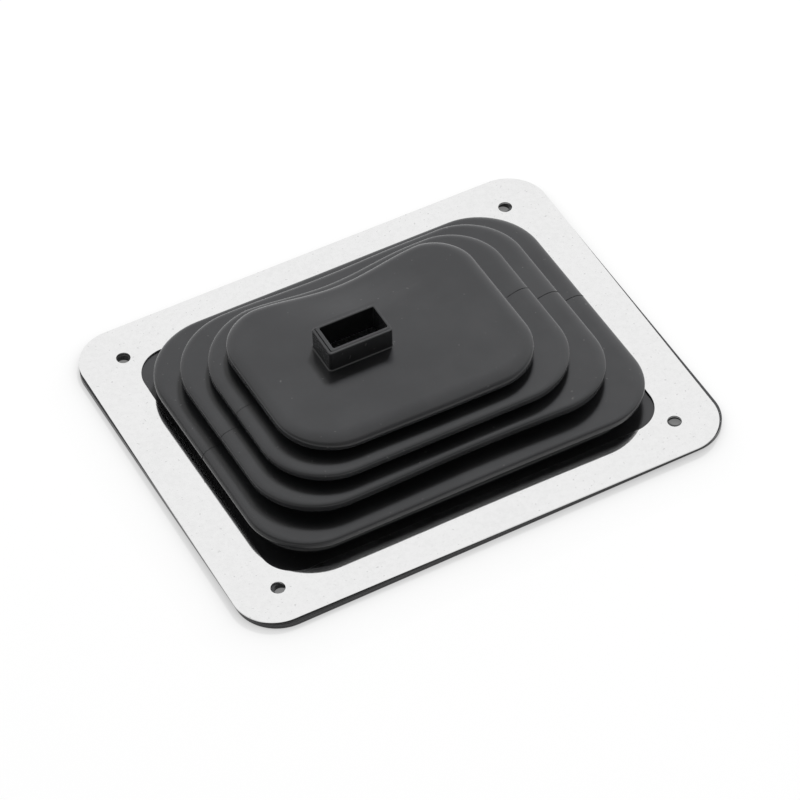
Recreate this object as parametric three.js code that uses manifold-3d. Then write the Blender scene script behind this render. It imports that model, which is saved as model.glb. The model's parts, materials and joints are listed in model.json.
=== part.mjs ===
import * as THREE from 'three';
import { mergeVertices } from 'three/addons/utils/BufferGeometryUtils.js';
import Module from 'manifold-3d';

// Gear lever gaiter: a moulded rubber bellows with a flat flange, held down by a flat metal trim plate.
// Millimetres, +Z up. The origin is the middle of the flange's underside, and X runs along the long side.

// Trim plate, laid straight, a little off the middle of the flange
const plateLength = 205;
const plateWidth = 164.4;
const plateThickness = 0.9;
const plateCornerRadius = 17;
const plateShift = { x: -0.5, y: -0.7 };

// Window in the plate that the bellows stands up through
const windowLength = 166.6;
const windowWidth = 126.8;
const windowCornerRadius = 13.5;

// Screw holes, one near each corner of the plate and of the flange below it
const screwHoleDiameter = 5.55;
const screwInsetX = 17.8;
const screwInsetY = 15.9;

// Rubber flange, of the plate's outline, lying slightly turned under it
const flangeThickness = 2.5;
const flangeTurn = THREE.MathUtils.degToRad(0.6);

// Bellows wall where it leaves the flange, clear of the plate's window all round
const windowClearance = 5.8;
const footFillet = 1.6;
const footCornerRadius = 21;

// Rubber wall, and the thick rounded edge of every lip
const wallThickness = 1.8;
const lipEdgeRadius = 2;

// Grooves between the lips, cut back under the lip above, and the wall's inside behind them
const grooveDepth = 5.5;
const waistInset = grooveDepth + wallThickness;
const lowestLipOverhang = { x: 6, y: 5.2 };

// Lips, lowest first. Steps are how far each stands in from the lip below, and rise is how far above it.
// Corner radii run far right, far left, near left, near right. The soft bellows leans and sags: shift
// moves a lip in x, sag drops the middle of its far side, and farDraw and nearDraw draw its sides in.
const lips = [
  {
    stepX: 0, stepY: 0, rise: 6.1, shift: 0.1,
    cornerRadii: [26, 30, 25, 26],
    sag: 0.2, farDraw: 0, nearDraw: 0.7,
  },
  {
    stepX: 9.3, stepY: 8.5, rise: 8.3, shift: -2,
    cornerRadii: [24, 31, 27, 28],
    sag: 1, farDraw: 0.1, nearDraw: 0.8,
  },
  {
    stepX: 10.1, stepY: 7.3, rise: 5.7, shift: -1.6,
    cornerRadii: [22, 31, 26, 28],
    sag: 2, farDraw: 1.7, nearDraw: 0,
  },
  {
    stepX: 10.9, stepY: 7.6, rise: 7.6, shift: -2.8,
    cornerRadii: [17, 21, 23, 22],
    sag: 2.9, farDraw: 1.9, nearDraw: -0.7,
  },
];
const lipSkew = Math.tan(THREE.MathUtils.degToRad(1.1));

// Spread of the sag along the sides, and where it starts on the way out, as a share of the half-width
const sagMiddle = -5;
const sagHalfSpan = 38;
const sagStart = 0.3;

// Slot for the flat lever, and the neck round it, standing off the middle of the top panel
const slotLength = 23;
const slotWidth = 11.8;
const slotShift = { x: -9.4, y: 3.4 };
const neckWalls = { left: 2.9, right: 1.1, near: 2.5, far: 1.1 };
const neckHeight = 8.9;
const neckCornerRadius = 1.2;
const slotCornerRadius = 0.6;
const neckFillet = 1.2;

// How finely the rounded outlines are divided, and where the top panel has outlines of its own
const cornerSteps = 8;
const longSideSteps = 10;
const shortSideSteps = 6;
const edgeSteps = 5;
const holeSegments = 24;
const panelEdgeInset = 6;
const panelInnerInsets = [12, 19];

const rubber = new THREE.MeshStandardMaterial({ color: 0x1b1b1c, roughness: 0.45, metalness: 0 });
const metal = new THREE.MeshStandardMaterial({ color: 0xc9cbcc, roughness: 0.3, metalness: 0.9 });

const wasm = await Module();
wasm.setup();

function toSolid(geometry) {
  const bare = geometry.clone();
  bare.deleteAttribute('normal');
  bare.deleteAttribute('uv');
  const merged = mergeVertices(bare, 1e-5);
  return new wasm.Manifold(new wasm.Mesh({
    numProp: 3,
    vertProperties: new Float32Array(merged.attributes.position.array),
    triVerts: new Uint32Array(merged.index.array),
  }));
}

function toGeometry(solid) {
  const mesh = solid.getMesh();
  const geometry = new THREE.BufferGeometry();
  geometry.setAttribute('position', new THREE.BufferAttribute(new Float32Array(mesh.vertProperties), 3));
  geometry.setIndex(new THREE.BufferAttribute(new Uint32Array(mesh.triVerts), 1));
  geometry.computeVertexNormals();
  return geometry;
}

// The same radius at all four corners of an outline
function evenCorners(radius) {
  return [radius, radius, radius, radius];
}

// Points of a rounded rectangle, anticlockwise from above, always the same number in the same order
function roundedRectangle(halfLength, halfWidth, cornerRadii) {
  const cornerSigns = [[1, 1], [-1, 1], [-1, -1], [1, -1]];
  const arcs = cornerSigns.map(([signX, signY], corner) => {
    const radius = cornerRadii[corner];
    const middle = new THREE.Vector2(signX * (halfLength - radius), signY * (halfWidth - radius));
    return Array.from({ length: cornerSteps + 1 }, (_, step) => {
      const angle = (corner + step / cornerSteps) * Math.PI / 2;
      return new THREE.Vector2(Math.cos(angle), Math.sin(angle)).multiplyScalar(radius).add(middle);
    });
  });
  return arcs.flatMap((arc, corner) => {
    const sideSteps = corner % 2 === 0 ? longSideSteps : shortSideSteps;
    const start = arc[cornerSteps];
    const end = arcs[(corner + 1) % arcs.length][0];
    const side = Array.from({ length: sideSteps - 1 }, (_, step) => {
      return start.clone().lerp(end, (step + 1) / sideSteps);
    });
    return [...arc, ...side];
  });
}

// Sizes of every lip, worked out from the window upwards
function measureLips() {
  const measured = [];
  let halfLength = windowLength / 2 - windowClearance + lowestLipOverhang.x;
  let halfWidth = windowWidth / 2 - windowClearance + lowestLipOverhang.y;
  let height = flangeThickness + plateThickness;
  let shiftX = 0;
  for (const lip of lips) {
    halfLength -= lip.stepX;
    halfWidth -= lip.stepY;
    height += lip.rise;
    shiftX += lip.shift;
    measured.push({ ...lip, halfLength, halfWidth, height, shiftX });
  }
  return measured;
}

function lipTop(lip) {
  return lip.height + lipEdgeRadius;
}

function lipUnderside(lip) {
  return lip.height - lipEdgeRadius;
}

// One outline of the bellows, standing in from a lip's edge by inset, at its own height
function lipRing(lip, inset, height) {
  return {
    halfLength: lip.halfLength - inset,
    halfWidth: lip.halfWidth - inset,
    cornerRadii: lip.cornerRadii.map((radius) => Math.max(radius - inset, radius / 3)),
    height,
    shiftX: lip.shiftX,
    shiftY: 0,
    lip,
  };
}

// How the soft rubber has settled at a point of a lip's outline
function settle(point, ring) {
  const { lip } = ring;
  const across = THREE.MathUtils.clamp((point.x - sagMiddle) / sagHalfSpan, -1, 1);
  const middle = (1 + Math.cos(across * Math.PI)) / 2;
  const outward = Math.abs(point.y) / lip.halfWidth;
  const edge = THREE.MathUtils.smoothstep(outward, sagStart, 1);
  if (point.y > 0) {
    point.z -= lip.sag * middle * edge;
    point.y -= lip.farDraw * middle * edge;
  } else {
    point.y += lip.nearDraw * middle * edge;
  }
  point.x -= lipSkew * point.y;
}

function ringPoints(ring) {
  const outline = roundedRectangle(ring.halfLength, ring.halfWidth, ring.cornerRadii);
  return outline.map((flat) => {
    const turned = flat.clone().rotateAround(new THREE.Vector2(), ring.turn ?? 0);
    const point = new THREE.Vector3(turned.x + ring.shiftX, turned.y + ring.shiftY, ring.height);
    if (ring.lip) settle(point, ring);
    return point;
  });
}

// Skin through a closed chain of rings, which makes a tube-like solid open right through
function loftClosed(rings) {
  const loops = rings.map(ringPoints);
  const count = loops[0].length;
  const positions = loops.flat().flatMap((point) => point.toArray());
  const indices = [];
  for (let ring = 0; ring < loops.length; ring++) {
    const nextRing = (ring + 1) % loops.length;
    for (let step = 0; step < count; step++) {
      const nextStep = (step + 1) % count;
      const a = ring * count + step;
      const b = ring * count + nextStep;
      const c = nextRing * count + nextStep;
      const d = nextRing * count + step;
      indices.push(a, b, c, a, c, d);
    }
  }
  const geometry = new THREE.BufferGeometry();
  geometry.setAttribute('position', new THREE.Float32BufferAttribute(positions, 3));
  geometry.setIndex(indices);
  return geometry;
}

// Spread and rise of the three outlines that round off a wall's foot
function filletSteps(radius) {
  const middle = radius * (1 - Math.SQRT1_2);
  return [[radius, 0], [middle, middle], [0, radius]];
}

// Flange: its turned outline below and above, up to where the bellows wall rises
function flangeRings(foot) {
  const outline = {
    halfLength: plateLength / 2,
    halfWidth: plateWidth / 2,
    cornerRadii: evenCorners(plateCornerRadius),
    shiftX: 0,
    shiftY: 0,
    turn: flangeTurn,
  };
  return [
    footRing(foot, -wallThickness, 0),
    { ...outline, height: 0 },
    { ...outline, height: flangeThickness },
    ...filletSteps(footFillet).map(([spread, rise]) => footRing(foot, spread, flangeThickness + rise)),
  ];
}

// Foot of the bellows wall, spread outwards by offset
function footRing(foot, offset, height) {
  return {
    halfLength: foot.halfLength + offset,
    halfWidth: foot.halfWidth + offset,
    cornerRadii: evenCorners(footCornerRadius + offset),
    height,
    shiftX: plateShift.x,
    shiftY: plateShift.y,
  };
}

// Rounded edge of a lip, from its underside round to its top
function lipEdgeRings(lip) {
  const rings = [];
  for (let step = 0; step <= edgeSteps; step++) {
    const angle = (step / edgeSteps - 0.5) * Math.PI;
    const inset = lipEdgeRadius * (1 - Math.cos(angle));
    rings.push(lipRing(lip, inset, lip.height + lipEdgeRadius * Math.sin(angle)));
  }
  return rings;
}

// Bottom of the groove between two lips, with its three rings placed from the upper lip's edge
function grooveRings(lower, upper) {
  const floor = lipTop(lower);
  const ceiling = lipUnderside(upper);
  const round = Math.min((ceiling - floor) / 2, lipEdgeRadius);
  return [
    lipRing(settledLike(upper, lower, 1), grooveDepth - round, floor),
    lipRing(settledLike(upper, lower, 0.5), grooveDepth, (floor + ceiling) / 2),
    lipRing(upper, grooveDepth - round, ceiling),
  ];
}

// A lip's outline, settled as far as another lip by the share given
function settledLike(lip, other, share) {
  const mix = (name) => THREE.MathUtils.lerp(lip[name], other[name], share);
  return { ...lip, sag: mix('sag'), farDraw: mix('farDraw'), nearDraw: mix('nearDraw') };
}

// Inside of the bellows, listed from the panel down: a straight waist behind each groove
function insideRings(measured) {
  const rings = [];
  for (let index = measured.length - 1; index > 0; index--) {
    const upper = measured[index];
    const lower = measured[index - 1];
    rings.push(lipRing(upper, waistInset, lipUnderside(upper) + wallThickness));
    rings.push(lipRing(settledLike(upper, lower, 1), waistInset, lipTop(lower) - wallThickness));
  }
  return rings;
}

function slotRing(panel, height) {
  return {
    halfLength: slotLength / 2,
    halfWidth: slotWidth / 2,
    cornerRadii: evenCorners(slotCornerRadius),
    height,
    shiftX: panel.shiftX + slotShift.x,
    shiftY: slotShift.y,
  };
}

// Outside of the neck, spread outwards where it runs into the panel
function neckRing(panel, spread, height) {
  const slot = slotRing(panel, height);
  return {
    ...slot,
    halfLength: slot.halfLength + (neckWalls.left + neckWalls.right) / 2 + spread,
    halfWidth: slot.halfWidth + (neckWalls.near + neckWalls.far) / 2 + spread,
    cornerRadii: evenCorners(neckCornerRadius + spread),
    shiftX: slot.shiftX + (neckWalls.right - neckWalls.left) / 2,
    shiftY: slot.shiftY + (neckWalls.far - neckWalls.near) / 2,
  };
}

function bellowsSolid() {
  const measured = measureLips();
  const lowest = measured[0];
  const panel = measured[measured.length - 1];
  const panelTop = lipTop(panel);
  const panelUnderside = panelTop - wallThickness;
  const neckTop = panelTop + neckHeight;
  const foot = {
    halfLength: windowLength / 2 - windowClearance,
    halfWidth: windowWidth / 2 - windowClearance,
  };

  const rings = flangeRings(foot);
  rings.push(footRing(foot, 0, lipUnderside(lowest) - footFillet));
  rings.push(lipRing(lowest, lowestLipOverhang.y - footFillet, lipUnderside(lowest)));
  measured.forEach((lip, index) => {
    rings.push(...lipEdgeRings(lip));
    if (lip !== panel) rings.push(...grooveRings(lip, measured[index + 1]));
  });
  [panelEdgeInset, ...panelInnerInsets].forEach((inset) => rings.push(lipRing(panel, inset, panelTop)));
  filletSteps(neckFillet).forEach(([spread, rise]) => rings.push(neckRing(panel, spread, panelTop + rise)));
  rings.push(neckRing(panel, 0, neckTop));
  rings.push(slotRing(panel, neckTop));
  rings.push(slotRing(panel, panelUnderside));
  [...panelInnerInsets].reverse().forEach((inset) => rings.push(lipRing(panel, inset, panelUnderside)));
  rings.push(lipRing(panel, waistInset, panelUnderside));
  rings.push(...insideRings(measured));
  rings.push(footRing(foot, -wallThickness, lipUnderside(lowest) + wallThickness));
  return toSolid(loftClosed(rings));
}

// Middles of the four screw holes, measured from the outline's own centre
function screwPlaces() {
  const x = plateLength / 2 - screwInsetX;
  const y = plateWidth / 2 - screwInsetY;
  return [[x, y], [-x, y], [-x, -y], [x, -y]].map(([placeX, placeY]) => new THREE.Vector2(placeX, placeY));
}

function makeBoot() {
  const holeRadius = screwHoleDiameter / 2;
  const drillLength = flangeThickness * 3;
  let solid = bellowsSolid();
  for (const place of screwPlaces()) {
    const drill = new THREE.CylinderGeometry(holeRadius, holeRadius, drillLength, holeSegments);
    const turned = place.rotateAround(new THREE.Vector2(), flangeTurn);
    drill.rotateX(Math.PI / 2);
    drill.translate(turned.x, turned.y, 0);
    solid = solid.subtract(toSolid(drill));
  }
  const boot = new THREE.Mesh(toGeometry(solid), rubber);
  boot.name = 'rubber_boot';
  return boot;
}

function makeTrimPlate() {
  const edge = roundedRectangle(plateLength / 2, plateWidth / 2, evenCorners(plateCornerRadius));
  const window = roundedRectangle(windowLength / 2, windowWidth / 2, evenCorners(windowCornerRadius));
  const outline = new THREE.Shape(edge);
  outline.holes.push(new THREE.Path(window.toReversed()));
  for (const place of screwPlaces()) {
    const hole = new THREE.Path();
    hole.absarc(place.x, place.y, screwHoleDiameter / 2, 0, Math.PI * 2, true);
    outline.holes.push(hole);
  }
  const geometry = new THREE.ExtrudeGeometry(outline, {
    depth: plateThickness,
    bevelEnabled: false,
    curveSegments: holeSegments,
  });
  const plate = new THREE.Mesh(geometry, metal);
  plate.name = 'trim_plate';
  plate.position.set(plateShift.x, plateShift.y, flangeThickness);
  return plate;
}

const group = new THREE.Group();
group.add(makeBoot(), makeTrimPlate());

export default group;
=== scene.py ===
import json
import math

import bmesh
import bpy
import numpy as np
from mathutils import Matrix, Vector

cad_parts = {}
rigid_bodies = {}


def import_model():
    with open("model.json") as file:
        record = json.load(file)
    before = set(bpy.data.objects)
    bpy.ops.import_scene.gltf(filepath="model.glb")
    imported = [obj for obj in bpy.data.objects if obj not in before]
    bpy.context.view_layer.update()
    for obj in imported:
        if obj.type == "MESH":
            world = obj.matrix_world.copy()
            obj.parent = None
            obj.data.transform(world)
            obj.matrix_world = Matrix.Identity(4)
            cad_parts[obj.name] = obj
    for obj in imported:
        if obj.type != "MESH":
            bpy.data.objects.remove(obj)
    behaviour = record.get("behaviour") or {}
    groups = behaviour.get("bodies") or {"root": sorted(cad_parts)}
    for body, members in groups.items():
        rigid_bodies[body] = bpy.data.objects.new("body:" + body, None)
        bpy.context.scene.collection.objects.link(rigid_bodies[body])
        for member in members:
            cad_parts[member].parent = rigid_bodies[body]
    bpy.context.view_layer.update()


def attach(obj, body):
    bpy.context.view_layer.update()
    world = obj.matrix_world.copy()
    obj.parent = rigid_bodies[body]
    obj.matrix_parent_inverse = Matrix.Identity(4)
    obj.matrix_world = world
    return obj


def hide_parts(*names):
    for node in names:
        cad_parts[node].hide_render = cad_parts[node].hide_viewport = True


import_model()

scene = bpy.context.scene
scene.view_settings.view_transform = "Standard"
mm = 0.001
print("gaiter: frame loaded")


# Camera, where it stood for the photograph
cameraSizes = {
    "place": (-0.472276, -0.939050, 1.143298),
    "right": (0.88201115, -0.47074926, -0.02124775),
    "down": (-0.35988077, -0.64380494, -0.67527848),
    "forward": (0.30420744, 0.60324981, -0.73725674),
    "lens": 181.4958,
    "sensor": 36,
    "clip": (0.05, 30),
}


def makeCamera(sizes):
    data = bpy.data.cameras.new("camera")
    data.lens = sizes["lens"]
    data.sensor_width = sizes["sensor"]
    data.clip_start, data.clip_end = sizes["clip"]
    camera = bpy.data.objects.new("camera", data)
    right, down, forward = (Vector(sizes[name]).normalized() for name in ("right", "down", "forward"))
    turn = Matrix((right, -down, -forward)).transposed()
    camera.matrix_world = Matrix.Translation(sizes["place"]) @ turn.to_4x4()
    scene.collection.objects.link(camera)
    scene.camera = camera


makeCamera(cameraSizes)


# Node sockets as numbers in plain expressions
class Socket:
    def __init__(self, tree, socket=None):
        self.tree = tree
        self.socket = socket

    def node(self, kind, settings=None, inputs=None, output=0):
        made = self.tree.nodes.new(kind)
        for name, value in (settings or {}).items():
            setattr(made, name, value)
        for name, value in (inputs or {}).items():
            if isinstance(value, Socket):
                self.tree.links.new(value.socket, made.inputs[name])
            else:
                made.inputs[name].default_value = value
        return Socket(self.tree, made.outputs[output])

    def maths(self, operation, *others):
        return self.node("ShaderNodeMath", {"operation": operation}, dict(enumerate((self, *others))))

    def part(self, axis):
        return self.node("ShaderNodeSeparateXYZ", None, {0: self}, axis)

    def other(self, name):
        # Another output of the same node
        return Socket(self.tree, self.socket.node.outputs[name])

    def __add__(self, other): return self.maths("ADD", other)
    def __radd__(self, other): return self.maths("ADD", other)
    def __sub__(self, other): return self.maths("SUBTRACT", other)
    def __rsub__(self, other): return self.maths("MULTIPLY", -1.0).maths("ADD", other)
    def __mul__(self, other): return self.maths("MULTIPLY", other)
    def __truediv__(self, other): return self.maths("DIVIDE", other)


def smooth(value, low, high):
    settings = {"interpolation_type": "SMOOTHSTEP"}
    return value.node("ShaderNodeMapRange", settings, {0: value, 1: low, 2: high})


def newMaterial(name):
    material = bpy.data.materials.new(name)
    material.use_nodes = True
    tree = material.node_tree
    shader = tree.nodes["Principled BSDF"]
    where = Socket(tree).node("ShaderNodeTexCoord", None, None, 3)
    return material, shader, where


def feed(shader, name, value):
    shader.id_data.links.new(value.socket, shader.inputs[name])


def noise(where, scale, detail=2.0, rough=0.5):
    return where.node("ShaderNodeTexNoise", None, {
        "Vector": where, "Scale": scale, "Detail": detail, "Roughness": rough})


def mixColours(where, share, first, second):
    return where.node("ShaderNodeMix", {"data_type": "RGBA"}, {0: share, 6: first, 7: second}, 2)


def addBump(shader, height, strength, distance):
    bump = height.node("ShaderNodeBump", None, {"Height": height, "Strength": strength, "Distance": distance})
    feed(shader, "Normal", bump)


# Black moulded rubber: satin, with a fine grain, faint smears and a little dust
rubberFinish = {
    "colour": (0.0300, 0.0306, 0.0328, 1),
    "smearColour": (0.0385, 0.0392, 0.0415, 1),
    "dustColour": (0.13, 0.13, 0.13, 1),
    "roughness": 0.215,
    "smearRoughness": 0.16,
    "grainRoughness": 0.08,
    "gloss": 0.44,
    "sheen": 0.06,
    "smearScale": 28,
    "smearSpan": (0.35, 0.7),
    "grainScale": 1500,
    "grainBump": (0.13, 0.00007),
    "dustScale": 620,
    "dustSpan": (0.755, 0.80),
    "dustShare": 0.5,
}


def makeRubber(finish):
    material, shader, where = newMaterial("black_rubber_satin")
    shader.inputs["Specular IOR Level"].default_value = finish["gloss"]
    shader.inputs["Sheen Weight"].default_value = finish["sheen"]
    smear = noise(where, finish["smearScale"], 4, 0.6)
    grain = noise(where, finish["grainScale"], 2)
    dust = smooth(noise(where, finish["dustScale"], 1), *finish["dustSpan"])
    base = mixColours(where, smooth(smear, *finish["smearSpan"]), finish["colour"], finish["smearColour"])
    feed(shader, "Base Color", mixColours(where, dust * finish["dustShare"], base, finish["dustColour"]))
    feed(shader, "Roughness", finish["roughness"] + (smear - 0.5) * finish["smearRoughness"]
         + (grain - 0.5) * finish["grainRoughness"])
    addBump(shader, grain, *finish["grainBump"])
    return material


# Bright metal sheet: satin, with a faint rolled grain and fine specks
metalFinish = {
    "colour": (0.85, 0.85, 0.85, 1),
    "mottleColour": (0.815, 0.815, 0.815, 1),
    "speckColour": (0.5, 0.5, 0.5, 1),
    "roughness": 0.065,
    "unevenRoughness": 0.03,
    "grainStretch": (0.06, 1.0, 1.0),
    "grainScale": 2200,
    "grainBump": (0.04, 0.00002),
    "cloudScale": 22,
    "mottleScale": 480,
    "mottleShare": 0.7,
    "mottleSpan": (0.38, 0.66),
    "speckScale": 820,
    "speckSpan": (0.70, 0.76),
    "speckShare": 0.45,
}


def makeMetal(finish):
    material, shader, where = newMaterial("bright_metal_satin")
    shader.inputs["Metallic"].default_value = 1.0
    stretched = where.node("ShaderNodeMapping", None, {"Vector": where, "Scale": finish["grainStretch"]})
    grain = noise(stretched, finish["grainScale"], 2)
    cloud = noise(where, finish["cloudScale"], 3)
    fine, share = noise(where, finish["mottleScale"], 3, 0.65), finish["mottleShare"]
    mottle = smooth(fine * share + cloud * (1 - share), *finish["mottleSpan"])
    speck = smooth(noise(where, finish["speckScale"], 1), *finish["speckSpan"])
    base = mixColours(where, mottle, finish["colour"], finish["mottleColour"])
    feed(shader, "Base Color", mixColours(where, speck * finish["speckShare"], base, finish["speckColour"]))
    uneven = (cloud - 0.5) * finish["unevenRoughness"] + (grain - 0.5) * finish["unevenRoughness"]
    feed(shader, "Roughness", finish["roughness"] + uneven)
    addBump(shader, grain, *finish["grainBump"])
    return material


# Rubber of the parting lines, darker and duller: the darker tones are painted shade for the shadow beside
# each ridge
partingShadeFinish = {
    # painted shade: both tones are darker than the boot's rubber
    "dark": (0.004, 0.004, 0.004, 1),
    "colour": (0.02, 0.02, 0.02, 1),
    "gloss": 0.15,
    "roughness": 0.5,
    "scale": 420,
    "span": (0.35, 0.65),
}


def makePartingShadeRubber(finish):
    material, shader, where = newMaterial("parting_line_rubber_painted_shade")
    shader.inputs["Specular IOR Level"].default_value = finish["gloss"]
    shader.inputs["Roughness"].default_value = finish["roughness"]
    share = smooth(noise(where, finish["scale"], 2), *finish["span"])
    feed(shader, "Base Color", mixColours(where, share, finish["dark"], finish["colour"]))
    return material


rubberMaterial = makeRubber(rubberFinish)
partingShadeMaterial = makePartingShadeRubber(partingShadeFinish)
metalMaterial = makeMetal(metalFinish)
print("gaiter: materials made")


def meshObject(name, points, faces, material):
    mesh = bpy.data.meshes.new(name)
    mesh.from_pydata([tuple(point) for point in points], [], faces)
    mesh.materials.append(material)
    mesh.update()
    piece = bpy.data.objects.new(name, mesh)
    scene.collection.objects.link(piece)
    return piece


# Rubber boot, in millimetres from the middle of the flange's underside
bootSizes = {
    "flangeHalf": (103.0, 81.75),
    "flangeShift": (0.0, -1.15),
    "flangeCorner": 17,
    "flangeThickness": 2.5,
    "flangeTurn": math.radians(0.62),
    "flangeEdge": 0.3,
    "screwHalf": (84.7, 66.3),
    "screwShift": (-0.2, -0.4),
    "screwRadius": 2.775,
    "footHalf": (77.5, 57.6),
    "footCorner": 21,
    "footFillet": 1.6,
    "footShift": (-0.5, -0.7),
    "wall": 1.8,
    "grooveDepth": 5.5,
    "grooveRadius": 2,
    "overhang": 5.2,
    "skew": math.tan(math.radians(1.1)),
    "sagMiddle": -5,
    "sagHalfSpan": 38,
    "sagStart": 0.3,
    "drawMiddle": 10,
    "drawHalfSpan": 60,
    "slotHalf": (11.5, 5.9),
    "slotShift": (-9.4, 3.4),
    "slotCorner": 0.6,
    "neckWalls": {"left": 2.9, "right": 1.1, "near": 2.5, "far": 1.1},
    "neckHeight": 8.9,
    "neckCorner": 1.2,
    "neckFillet": 0.6,
    "rimEdge": 0.35,
    "rimGroove": (0, 0, 0.45, 0.15),
    "rimGrooveRun": ((0.22, 0), (0.27, 0.6), (0.33, 1), (0.39, 1), (0.45, 0.6), (0.5, 0)),
    "panelInsets": (8, 12, 16, 19),
    "panelInnerInsets": (19, 12),
    "drillSpan": (-2, 5),
    "drillSteps": 48,
    "sharpAngle": 50,
    "flangeEdgeSteps": 3,
    "filletSteps": 6,
    "rimSteps": 5,
    "edgeHold": 0.15,
    "cornerSteps": 18,
    "longSteps": 44,
    "shortSteps": 30,
    "edgeSteps": 12,
    "grooveSteps": 8,
}

# Lips, lowest first. Corner radii run far right, far left, near left, near right.
# Reach and drop are how far in and down the top rounds over, and under is the lower edge's radius,
# each at the right, far, left and near sides.
lips = [
    {"half": (83.5, 62.8), "top": 12.3, "thickness": 3.4, "shift": (-0.15, -0.48), "radii": (26, 30, 25, 26),
     "reach": (5, 2.2, 2.6, 1.2), "drop": (2, 2, 2.4, 0.9), "under": (1.2, 1.2, 0.7, 0.7),
     "sag": 0.2, "farDraw": 0, "nearDraw": 0.4},
    {"half": (74.2, 54.3), "top": 19.8, "thickness": 3.8, "shift": (-1.9, 0), "radii": (24, 31, 27, 28),
     "reach": (5, 2.5, 2.6, 1.4), "drop": (2, 2, 1.4, 1.3), "under": (1.2, 1.2, 0.7, 0.7),
     "sag": 1, "farDraw": 0.1, "nearDraw": 1.1},
    {"half": (64.1, 47.0), "top": 26.0, "thickness": 3.6, "shift": (-3.75, -0.48), "radii": (22, 31, 26, 28),
     "reach": (5, 2.5, 2.6, 1.4), "drop": (1.9, 1.9, 1.3, 1.2), "under": (1.2, 1.2, 0.7, 0.7),
     "sag": 2, "farDraw": 1.7, "nearDraw": 0},
    {"half": (53.2, 39.4), "top": 33.7, "thickness": 5.2, "shift": (-6.55, -0.48), "radii": (17, 21, 23, 22),
     "reach": (5.5, 3.5, 4.8, 6.3), "drop": (2.6, 2.6, 2.2, 3.6), "under": (1.3, 1.3, 0.9, 0.9),
     "sag": 2.9, "farDraw": 1.9, "nearDraw": -0.7},
]


def outline(half, radii):
    signs = ((1, 1), (-1, 1), (-1, -1), (1, -1))
    arcs = []
    for corner, sign in enumerate(signs):
        middle = np.array(sign) * (np.array(half) - radii[corner])
        angles = (corner + np.linspace(0, 1, bootSizes["cornerSteps"] + 1)) * math.pi / 2
        arcs.append(middle + radii[corner] * np.column_stack([np.cos(angles), np.sin(angles)]))
    runs = []
    for corner, arc in enumerate(arcs):
        steps = bootSizes["shortSteps"] if corner % 2 else bootSizes["longSteps"]
        shares = np.linspace(0, 1, steps + 1)[1:-1, None]
        runs += [arc, arc[-1] + shares * (arcs[(corner + 1) % 4][0] - arc[-1])]
    return np.vstack(runs)


def outlineAngles():
    # Which way the outline faces at each of its points
    runs = []
    for corner in range(4):
        steps = bootSizes["shortSteps"] if corner % 2 else bootSizes["longSteps"]
        arc = np.linspace(corner, corner + 1, bootSizes["cornerSteps"] + 1)
        runs += [arc, np.full(steps - 1, corner + 1.0)]
    return np.concatenate(runs) * math.pi / 2


def plainRing(half, radii, height, shift=(0, 0), turn=0):
    flat = outline(half, radii)
    cosine, sine = math.cos(turn), math.sin(turn)
    turned = flat @ np.array([[cosine, sine], [-sine, cosine]]) + np.array(shift)
    return np.column_stack([turned, np.full(len(turned), float(height))])


def swell(values, middle, halfSpan):
    # One at the middle, falling smoothly to nothing at the half span
    return (1 + np.cos(np.clip((values - middle) / halfSpan, -1, 1) * math.pi)) / 2


# Soft rubber: the far side's middle sags, the sides draw in, and each lip leans over a little
def settle(points, lip):
    sizes = bootSizes
    x, y, z = points.T
    outward = (np.abs(y) / lip["half"][1] - sizes["sagStart"]) / (1 - sizes["sagStart"])
    outward = np.clip(outward, 0, 1)
    edge = outward ** 2 * (3 - 2 * outward)
    far = y > 0
    sagging = swell(x, sizes["sagMiddle"], sizes["sagHalfSpan"]) * edge
    drawn = swell(x, sizes["drawMiddle"], sizes["drawHalfSpan"]) * edge
    z = z - np.where(far, lip["sag"] * sagging, 0)
    y = y + np.where(far, -lip["farDraw"] * sagging, lip["nearDraw"] * drawn)
    return np.column_stack([x - sizes["skew"] * y, y + lip["shift"][1], z])


def lipRing(lip, inset, height, rise=0):
    half = (lip["half"][0] - inset, lip["half"][1] - inset)
    radii = [max(radius - inset, radius / 3) for radius in lip["radii"]]
    points = plainRing(half, radii, height, (lip["shift"][0], 0))
    points[:, 2] += rise
    return settle(points, lip)


def lipMix(lip, other, share):
    mixed = dict(lip)
    for name in ("sag", "farDraw", "nearDraw"):
        mixed[name] = lip[name] + (other[name] - lip[name]) * share
    return mixed


def lipUnderside(lip):
    return lip["top"] - lip["thickness"]


def sideBlend(values):
    # Values for the right, far, left and near sides, blended round the corners
    facing = outlineAngles()
    across, along = np.cos(facing), np.sin(facing)
    right, far, left, near = values
    return across ** 2 * np.where(across > 0, right, left) + along ** 2 * np.where(along > 0, far, near)


def rounding(inset, reach):
    # One at the edge, falling to nothing at the reach, along a quarter of an ellipse
    return 1 - np.sqrt(1 - (1 - np.minimum(inset / reach, 1)) ** 2)


def edgeRings(lip):
    steps = bootSizes["edgeSteps"]
    under, reach, drop = (sideBlend(lip[name]) for name in ("under", "reach", "drop"))
    rings = []
    for share in np.linspace(1, 0, steps // 2 + 1):
        inset = max(lip["under"]) * share ** 2
        rings.append(lipRing(lip, inset, lipUnderside(lip), under * rounding(inset, under)))
    top = []
    for share in np.linspace(0, 1, steps + 1):
        inset = max(lip["reach"]) * share ** 2
        top.append(lipRing(lip, inset, lip["top"], -drop * rounding(inset, reach)))
    return [*rings, *spanRings(rings[-1], top[0], 2, bootSizes["edgeHold"]), *top]


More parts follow.
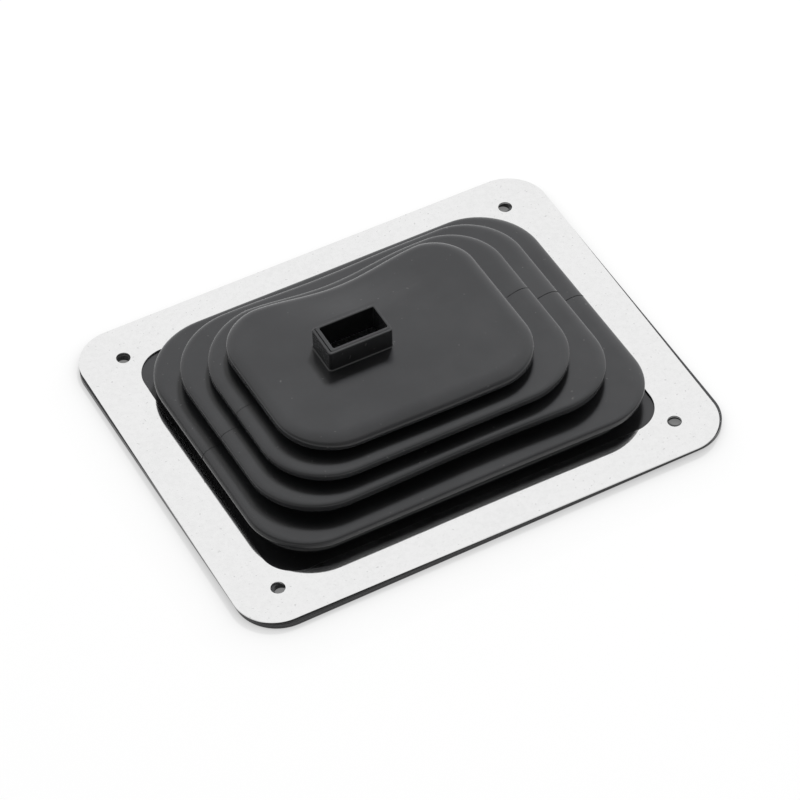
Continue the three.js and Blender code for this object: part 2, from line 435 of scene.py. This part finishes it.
def grooveRings(lower, upper):
    floor, ceiling = lower["top"], lipUnderside(upper)
    depth = min((ceiling - floor) / 2, bootSizes["grooveRadius"])
    rings = []
    for share in np.linspace(0, 1, bootSizes["grooveSteps"] + 1):
        angle = (share - 0.5) * math.pi
        inset = bootSizes["grooveDepth"] - depth * (1 - math.cos(angle))
        height = (floor + ceiling) / 2 + (ceiling - floor) / 2 * math.sin(angle)
        rings.append(lipRing(lipMix(upper, lower, 1 - share), inset, height))
    return rings


# Flats between two rings get rings of their own close to both ends, so that they shade flat
def spanRings(first, last, steps=3, hold=0.3):
    length = np.median(np.linalg.norm(last - first, axis=1))
    near = min(hold / max(length, 1e-6), 0.3)
    shares = [near, *np.linspace(near, 1 - near, steps + 1)[1:-1], 1 - near]
    return [first + (last - first) * share for share in shares]


def arcRings(makeRing, radius, steps, turnFrom, turnTo):
    return [makeRing(radius * math.cos(angle), radius * math.sin(angle))
            for angle in np.linspace(turnFrom, turnTo, steps + 1)]


def footRing(offset, height):
    half = [side + offset for side in bootSizes["footHalf"]]
    return plainRing(half, [bootSizes["footCorner"] + offset] * 4, height, bootSizes["footShift"])


def flangeRing(inset, height):
    half = [side - inset for side in bootSizes["flangeHalf"]]
    return plainRing(half, [bootSizes["flangeCorner"] - inset] * 4, height,
                     bootSizes["flangeShift"], bootSizes["flangeTurn"])


def slotRing(spread, height):
    half = [side + spread for side in bootSizes["slotHalf"]]
    shift = np.add(lips[-1]["shift"], bootSizes["slotShift"])
    return plainRing(half, [bootSizes["slotCorner"] + spread] * 4, height, shift)


def neckRing(spread, height):
    walls = bootSizes["neckWalls"]
    half = (bootSizes["slotHalf"][0] + (walls["left"] + walls["right"]) / 2 + spread,
            bootSizes["slotHalf"][1] + (walls["near"] + walls["far"]) / 2 + spread)
    shift = np.add(lips[-1]["shift"], bootSizes["slotShift"])
    shift = shift + ((walls["right"] - walls["left"]) / 2, (walls["far"] - walls["near"]) / 2)
    return plainRing(half, [bootSizes["neckCorner"] + spread] * 4, height, shift)


def bootRings():
    sizes = bootSizes
    lowest, panel = lips[0], lips[-1]
    panelTop, wall = panel["top"], sizes["wall"]
    neckTop, rim, thick = panelTop + sizes["neckHeight"], sizes["rimEdge"], sizes["flangeThickness"]
    quarter = math.pi / 2
    chain = []

    def go(*rings, steps=3):
        # A flat from the last ring to the first new one, then the new ones
        if chain:
            chain.extend(spanRings(chain[-1], rings[0], steps))
        chain.extend(rings)

    go(footRing(-wall, 0))
    edge, edgeSteps = sizes["flangeEdge"], sizes["flangeEdgeSteps"]
    go(*arcRings(lambda out, up: flangeRing(edge - out, edge + up), edge, edgeSteps, -quarter, 0))
    go(*arcRings(lambda out, up: flangeRing(edge - out, thick - edge + up),
                 edge, edgeSteps, 0, quarter), steps=1)
    fillet, filletSteps = sizes["footFillet"], sizes["filletSteps"]
    go(*arcRings(lambda out, up: footRing(fillet + out, thick + fillet + up),
                 fillet, filletSteps, -quarter, -2 * quarter))
    underside = lipUnderside(lowest)
    go(footRing(0, underside - fillet), steps=2)
    go(lipRing(lowest, sizes["overhang"] - fillet, underside), steps=2)
    for index, lip in enumerate(lips):
        go(*edgeRings(lip), steps=2)
        if lip is not panel:
            go(*grooveRings(lip, lips[index + 1]), steps=4)
    for inset in sizes["panelInsets"]:
        go(lipRing(panel, inset, panelTop), steps=1)
    fillet = sizes["neckFillet"]
    go(*arcRings(lambda out, up: neckRing(fillet + out, panelTop + fillet + up),
                 fillet, filletSteps, -quarter, -2 * quarter), steps=6)
    go(*arcRings(lambda out, up: neckRing(out - rim, neckTop - rim + up),
                 rim, sizes["rimSteps"], 0, quarter), steps=3)
    rimOuter, rimInner = chain[-1], slotRing(rim, neckTop)
    groove = sideBlend(sizes["rimGroove"])
    for share, depth in sizes["rimGrooveRun"]:
        ring = rimOuter + (rimInner - rimOuter) * share
        ring[:, 2] -= groove * depth
        chain.append(ring)
    go(*arcRings(lambda out, up: slotRing(rim + out, neckTop - rim + up),
                 rim, sizes["rimSteps"], quarter, 2 * quarter), steps=1)
    under = panelTop - wall
    go(slotRing(0, under))
    for inset in sizes["panelInnerInsets"]:
        go(lipRing(panel, inset, under))
    waist = sizes["grooveDepth"] + wall
    go(lipRing(panel, waist, under))
    for index in range(len(lips) - 1, 0, -1):
        upper, lower = lips[index], lips[index - 1]
        go(lipRing(upper, waist, lipUnderside(upper) + wall), steps=1)
        go(lipRing(lipMix(upper, lower, 1), waist, lower["top"] - wall), steps=1)
    go(footRing(-wall, lipUnderside(lowest) + wall), steps=1)
    return chain


def cutHoles(piece, places, radius, low, high):
    for place in places:
        drillMesh = bpy.data.meshes.new("drill")
        shape = bmesh.new()
        bmesh.ops.create_cone(shape, cap_ends=True, segments=bootSizes["drillSteps"],
                              radius1=radius, radius2=radius, depth=high - low,
                              matrix=Matrix.Translation((place[0], place[1], (low + high) / 2)))
        shape.to_mesh(drillMesh)
        shape.free()
        drill = bpy.data.objects.new("drill", drillMesh)
        scene.collection.objects.link(drill)
        cut = piece.modifiers.new("cut", "BOOLEAN")
        cut.operation = "DIFFERENCE"
        cut.solver = "EXACT"
        cut.object = drill
    bakeModifiers(piece)
    for drill in [item for item in scene.collection.objects if item.name.startswith("drill")]:
        bpy.data.objects.remove(drill)


def bakeModifiers(piece):
    evaluated = piece.evaluated_get(bpy.context.evaluated_depsgraph_get())
    baked = bpy.data.meshes.new_from_object(evaluated)
    piece.modifiers.clear()
    piece.data = baked


def shadeSmooth(piece, angle):
    piece.data.polygons.foreach_set("use_smooth", [True] * len(piece.data.polygons))
    piece.data.set_sharp_from_angle(angle=math.radians(angle))


def makeBoot():
    chain = bootRings()
    count = len(chain[0])
    points = np.vstack(chain) * mm
    faces = []
    for ring in range(len(chain)):
        nextRing = (ring + 1) % len(chain)
        for step in range(count):
            nextStep = (step + 1) % count
            faces.append((ring * count + step, ring * count + nextStep,
                          nextRing * count + nextStep, nextRing * count + step))
    piece = meshObject("moulded_boot", points, faces, rubberMaterial)
    cosine, sine = math.cos(bootSizes["flangeTurn"]), math.sin(bootSizes["flangeTurn"])
    halfX, halfY = bootSizes["screwHalf"]
    shiftX, shiftY = bootSizes["screwShift"]
    places = [((x * cosine - y * sine + shiftX) * mm, (x * sine + y * cosine + shiftY) * mm)
              for x, y in ((halfX, halfY), (-halfX, halfY), (-halfX, -halfY), (halfX, -halfY))]
    low, high = bootSizes["drillSpan"]
    cutHoles(piece, places, bootSizes["screwRadius"] * mm, low * mm, high * mm)
    shadeSmooth(piece, bootSizes["sharpAngle"])
    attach(piece, "root")
    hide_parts("rubber_boot")
    return piece


boot = makeBoot()
print("gaiter: boot made,", len(boot.data.polygons), "faces")


# Geometry Nodes: a tree with named inputs, run once on an object and left as a plain mesh
def newTree(name, inputs):
    tree = bpy.data.node_groups.new(name, "GeometryNodeTree")
    tree.interface.new_socket("Geometry", in_out="INPUT", socket_type="NodeSocketGeometry")
    for label in inputs:
        tree.interface.new_socket(label, in_out="INPUT", socket_type="NodeSocketFloat")
    tree.interface.new_socket("Geometry", in_out="OUTPUT", socket_type="NodeSocketGeometry")
    entry = tree.nodes.new("NodeGroupInput")
    return tree, {socket.name: Socket(tree, socket) for socket in entry.outputs if socket.name}


def endTree(shape, material):
    realized = shape.node("GeometryNodeRealizeInstances", None, {"Geometry": shape})
    finished = shape.node("GeometryNodeSetMaterial", None, {"Geometry": realized, "Material": material})
    leave = shape.tree.nodes.new("NodeGroupOutput")
    shape.tree.links.new(finished.socket, leave.inputs["Geometry"])


def runTree(piece, tree, values):
    modifier = piece.modifiers.new("shape", "NODES")
    modifier.node_group = tree
    for item in tree.interface.items_tree:
        if item.in_out == "INPUT" and item.name in values:
            modifier[item.identifier] = values[item.name]


# Trim plate, flat sheet with a rounded window and four screw holes
plateSizes = {
    "Length": 205 * mm,
    "Width": 164.4 * mm,
    "Corner": 17 * mm,
    "Window Length": 166.6 * mm,
    "Window Width": 126.8 * mm,
    "Window Corner": 13.5 * mm,
    "Hole Radius": 2.775 * mm,
    "Hole Span X": 169.4 * mm,
    "Hole Span Y": 132.6 * mm,
    "Thickness": 0.9 * mm,
}
plateFit = {
    "shift": (-0.5 * mm, -0.7 * mm, 2.5 * mm),
    "bevel": 0.12 * mm,
    "bevelSteps": 2,
    "cornerSteps": 24,
    "holeSteps": 48,
    "weld": 0.001 * mm,
    "sharpAngle": 35,
    "flatNormal": 0.99,
}


def roundedCurve(tree, width, height, radius, count):
    frameCurve = tree.node("GeometryNodeCurvePrimitiveQuadrilateral", {"mode": "RECTANGLE"},
                           {"Width": width, "Height": height})
    return tree.node("GeometryNodeFilletCurve", {"mode": "POLY"},
                     {"Curve": frameCurve, "Radius": radius, "Count": count})


def joinShapes(first, others):
    joined = first.tree.nodes.new("GeometryNodeJoinGeometry")
    for shape in (first, *others):
        first.tree.links.new(shape.socket, joined.inputs[0])
    return Socket(first.tree, joined.outputs[0])


def plateTree(fit):
    tree, size = newTree("trim_plate_shape", plateSizes)
    start = Socket(tree)
    outer = roundedCurve(start, size["Length"], size["Width"], size["Corner"], fit["cornerSteps"])
    window = roundedCurve(start, size["Window Length"], size["Window Width"], size["Window Corner"],
                          fit["cornerSteps"])
    places = start.node("GeometryNodeMeshGrid", None, {
        "Size X": size["Hole Span X"], "Size Y": size["Hole Span Y"], "Vertices X": 2, "Vertices Y": 2})
    ring = start.node("GeometryNodeCurvePrimitiveCircle", {"mode": "RADIUS"},
                      {"Resolution": fit["holeSteps"], "Radius": size["Hole Radius"]})
    holes = start.node("GeometryNodeInstanceOnPoints", None, {"Points": places, "Instance": ring})
    holes = start.node("GeometryNodeRealizeInstances", None, {"Geometry": holes})
    sheet = start.node("GeometryNodeFillCurve", {"mode": "TRIANGLES"},
                       {"Curve": joinShapes(outer, [window, holes])})
    raised = start.node("GeometryNodeExtrudeMesh", {"mode": "FACES"}, {
        "Mesh": sheet, "Offset Scale": size["Thickness"], "Individual": False})
    under = start.node("GeometryNodeFlipFaces", None, {"Mesh": sheet})
    solid = start.node("GeometryNodeMergeByDistance", None, {
        "Geometry": joinShapes(raised, [under]), "Distance": fit["weld"]})
    placed = start.node("GeometryNodeTransform", None, {"Geometry": solid, "Translation": fit["shift"]})
    endTree(placed, metalMaterial)
    return tree


def makePlate():
    piece = meshObject("sheet_trim_plate", [], [], metalMaterial)
    runTree(piece, plateTree(plateFit), plateSizes)
    bevel = piece.modifiers.new("edges", "BEVEL")
    bevel.width = plateFit["bevel"]
    bevel.segments = plateFit["bevelSteps"]
    bevel.limit_method = "ANGLE"
    bakeModifiers(piece)
    shadeSmooth(piece, plateFit["sharpAngle"])
    # The sheet's flat faces keep flat shading beside the bevel
    for face in piece.data.polygons:
        face.use_smooth = abs(face.normal.z) < plateFit["flatNormal"]
    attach(piece, "root")
    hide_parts("trim_plate")
    return piece


plate = makePlate()
print("gaiter: plate made,", len(plate.data.polygons), "faces")


# Parting lines of the mould, fine ridges across the lips at both short sides.
# Each line has its lip, its side and its y at the inner end and at the lip's edge.
partingSizes = {
    "Radius": 0.13 * mm,
    "start": 10.5,
    "bow": 0.5,
    "leftSink": 0.055,
    "topSteps": 26,
    "topCrowding": 1.8,
    "edgeSteps": 7,
    "tubeSteps": 8,
    "sharpAngle": 60,
    "lines": [
        (0, 1, 0.6, 1.4), (1, 1, 0.9, 1.6), (2, 1, 2.3, 3.7),
        (0, -1, -0.3, -1.6), (1, -1, -2.1, -3.0), (2, -1, 0.8, -0.3),
    ],
}


def partingPath(lip, side, innerY, outerY):
    reach, drop, under = (lip[name][0 if side > 0 else 2] for name in ("reach", "drop", "under"))
    shares = np.linspace(1, 0, partingSizes["topSteps"])
    insets = partingSizes["start"] * shares ** partingSizes["topCrowding"]
    rises = -drop * rounding(insets, reach)
    downs = np.linspace(-drop, under - lip["thickness"], partingSizes["edgeSteps"])[1:]
    insets = np.concatenate([insets, np.zeros(len(downs))])
    rises = np.concatenate([rises, downs])
    share = 1 - insets / partingSizes["start"]
    y = innerY + (outerY - innerY) * share + partingSizes["bow"] * np.sin(share * math.pi)
    if side < 0:
        rises = rises - partingSizes["leftSink"]
    x = side * (lip["half"][0] - insets) + lip["shift"][0]
    return settle(np.column_stack([x, y - lip["shift"][1], lip["top"] + rises]), lip) * mm


def partingTree():
    tree, size = newTree("parting_line_shape", ["Radius"])
    path = size["Geometry"].node("GeometryNodeMeshToCurve", None, {"Mesh": size["Geometry"]})
    ring = path.node("GeometryNodeCurvePrimitiveCircle", {"mode": "RADIUS"},
                     {"Resolution": partingSizes["tubeSteps"], "Radius": size["Radius"]})
    tube = path.node("GeometryNodeCurveToMesh", None, {
        "Curve": path, "Profile Curve": ring, "Fill Caps": True})
    endTree(tube, partingShadeMaterial)
    return tree


def makeParting():
    points, edges = [], []
    for index, side, innerY, outerY in partingSizes["lines"]:
        path = partingPath(lips[index], side, innerY, outerY)
        edges += [(len(points) + step, len(points) + step + 1) for step in range(len(path) - 1)]
        points += [tuple(point) for point in path]
    mesh = bpy.data.meshes.new("parting_lines")
    mesh.from_pydata(points, edges, [])
    piece = bpy.data.objects.new("parting_lines", mesh)
    scene.collection.objects.link(piece)
    runTree(piece, partingTree(), partingSizes)
    bakeModifiers(piece)
    shadeSmooth(piece, partingSizes["sharpAngle"])
    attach(piece, "root")
    return piece


parting = makeParting()
print("gaiter: parting lines made,", len(parting.data.polygons), "faces")


# Floor, in metres
floorSizes = {
    "half": 4.0,
    "drop": 0.00005,
    "clearReach": 0.0002,
    "hollowReach": 0.06,
    "hollowClear": 0.6,
    "colour": (0.985, 0.985, 0.985, 1),
    "roughness": 0.9,
    "gloss": 0.1,
    "glow": 1.0,
    "hollow": (0.080, 0.060),
    "footprint": (0.0995, 0.0785),
    "footprintCorner": 0.165,
    # painted shade: the share of the glow left under the flange
    "paintedShadeUnderFlange": 0.4,
    # painted contact shadow: how deep, how far and which way the floor's glow darkens beside the object
    "lift": 0.86,
    "paintedContactShade": 0.55,
    "paintedContactShadeReach": 0.02,
    "paintedContactShadeSamples": 16,
    "paintedContactShadeAim": (0.15, 0.22, 0.96),
    "edge": (0.98, 1.02),
}


def makeFloor(sizes):
    # Seen directly or mirrored the floor is lifted to white, with a painted contact shadow close beside
    #  the object and painted shade under its flange, and plain in the shade of the hollow
    half, low = sizes["half"], -sizes["drop"]
    material, shader, where = newMaterial("white_floor")
    shader.inputs["Roughness"].default_value = sizes["roughness"]
    shader.inputs["Specular IOR Level"].default_value = sizes["gloss"]
    shader.inputs["Emission Strength"].default_value = sizes["glow"]
    rays = where.node("ShaderNodeLightPath")
    seen = rays.maths("MAXIMUM", rays.other("Is Glossy Ray"))
    seen = seen.maths("MAXIMUM", rays.other("Is Transmission Ray"))
    across, along = (where.part(axis).maths("ABSOLUTE") for axis in (0, 1))
    hollow, footprint = ((across / sizes[name][0]).maths("MAXIMUM", along / sizes[name][1])
                         for name in ("hollow", "footprint"))
    corner = (across + along) / sizes["footprintCorner"]
    outside = smooth(hollow, *sizes["edge"])
    beside = smooth(footprint.maths("MAXIMUM", corner), *sizes["edge"])
    # Painted contact shadow: ambient occlusion aimed toward the key darkens the floor's glow beside the
    # object
    aim = where.node("ShaderNodeCombineXYZ", None, dict(enumerate(sizes["paintedContactShadeAim"])))
    openness = where.node("ShaderNodeAmbientOcclusion", {"samples": sizes["paintedContactShadeSamples"]},
                          {"Distance": sizes["paintedContactShadeReach"], "Normal": aim}, 1)
    lifted = seen * outside * sizes["lift"]
    glow = 1 - (1 - openness) * sizes["paintedContactShade"]
    # Painted shade under the flange: inside the footprint the glow falls to a share of 0.4
    glow = glow * (sizes["paintedShadeUnderFlange"] + beside * (1 - sizes["paintedShadeUnderFlange"]))
    feed(shader, "Emission Color", mixColours(where, lifted * glow, (0, 0, 0, 1), (1, 1, 1, 1)))
    feed(shader, "Base Color", mixColours(where, lifted, sizes["colour"], (0, 0, 0, 1)))
    # Clear from below, and for the rays that light the underside and the hollow
    below = where.node("ShaderNodeNewGeometry", None, None, "Backfacing")
    length = rays.other("Ray Length")
    touching = length.maths("LESS_THAN", sizes["clearReach"])
    inside = length.maths("LESS_THAN", sizes["hollowReach"]) * (1 - outside)
    soft = rays.other("Is Diffuse Ray") * inside * sizes["hollowClear"]
    share = below.maths("MAXIMUM", touching).maths("MAXIMUM", soft)
    clear = where.node("ShaderNodeBsdfTransparent")
    surface = where.node("ShaderNodeMixShader", None, {
        0: share, 1: Socket(where.tree, shader.outputs[0]), 2: clear})
    where.tree.links.new(surface.socket, where.tree.nodes["Material Output"].inputs["Surface"])
    corners = [(-half, -half, low), (half, -half, low), (half, half, low), (-half, half, low)]
    floor = meshObject("floor", corners, [(0, 1, 2, 3)], material)


# Light: a soft box behind the object, and a sky that is bright at the back.
# For mirrored rays the sky also has a wide bright top.
lightSizes = {
    "keyAim": (0, 0, 0.02),
    "keyAway": (0.56, 0.68, 1.0),
    "keyDistance": 2.9,
    "keyLength": 0.36,
    "keyWidth": 0.34,
    "keyPower": 87,
    "skyBack": 1.0,
    "skyFront": 0.06,
    "skyMirrored": 0.48,
    "mirrorElevation": 62,
    "skyAzimuth": 63,
    "backSpan": (0.25, 0.5),
    "topSpan": (0.80, 0.88),
    "mirrorSpan": (0.3, 0.5),
}


def makeLight(sizes):
    # One side of the box stays level
    away = Vector(sizes["keyAway"]).normalized()
    up = away.cross(Vector((1, 0, 0))).normalized()
    turn = Matrix((up.cross(away), up, away)).transposed()
    data = bpy.data.lights.new("key", "AREA")
    data.shape = "RECTANGLE"
    data.size = sizes["keyLength"]
    data.size_y = sizes["keyWidth"]
    data.energy = sizes["keyPower"]
    key = bpy.data.objects.new("key", data)
    place = Vector(sizes["keyAim"]) + away * sizes["keyDistance"]
    key.matrix_world = Matrix.Translation(place) @ turn.to_4x4()
    key.visible_camera = False
    key.visible_glossy = False
    scene.collection.objects.link(key)


def makeWorld(sizes):
    world = bpy.data.worlds.new("studio")
    scene.world = world
    world.use_nodes = True
    tree = world.node_tree
    background = tree.nodes["Background"]
    direction = Socket(tree).node("ShaderNodeTexCoord", None, None, 0)
    azimuth = math.radians(sizes["skyAzimuth"])
    side = direction.part(0) * math.cos(azimuth) + direction.part(1) * math.sin(azimuth)
    height = direction.part(2)
    behind = smooth(side, *sizes["backSpan"]) * (1 - smooth(height, *sizes["topSpan"]))
    tilt = math.radians(sizes["mirrorElevation"])
    above = smooth(side * math.cos(tilt) + height * math.sin(tilt), *sizes["mirrorSpan"])
    seen = Socket(tree).node("ShaderNodeLightPath")
    mirrored = seen.other("Is Glossy Ray").maths("MAXIMUM", seen.other("Is Transmission Ray"))
    soft = sizes["skyFront"] + behind * (sizes["skyBack"] - sizes["skyFront"])
    glossy = sizes["skyMirrored"] + above * (sizes["skyBack"] - sizes["skyMirrored"])
    level = soft + mirrored * (glossy - soft)
    shown = level + seen * (1 - level)
    tree.links.new(shown.socket, background.inputs["Strength"])
    background.inputs["Color"].default_value = (1, 1, 1, 1)


makeFloor(floorSizes)
makeLight(lightSizes)
makeWorld(lightSizes)
print("gaiter: floor and light made")
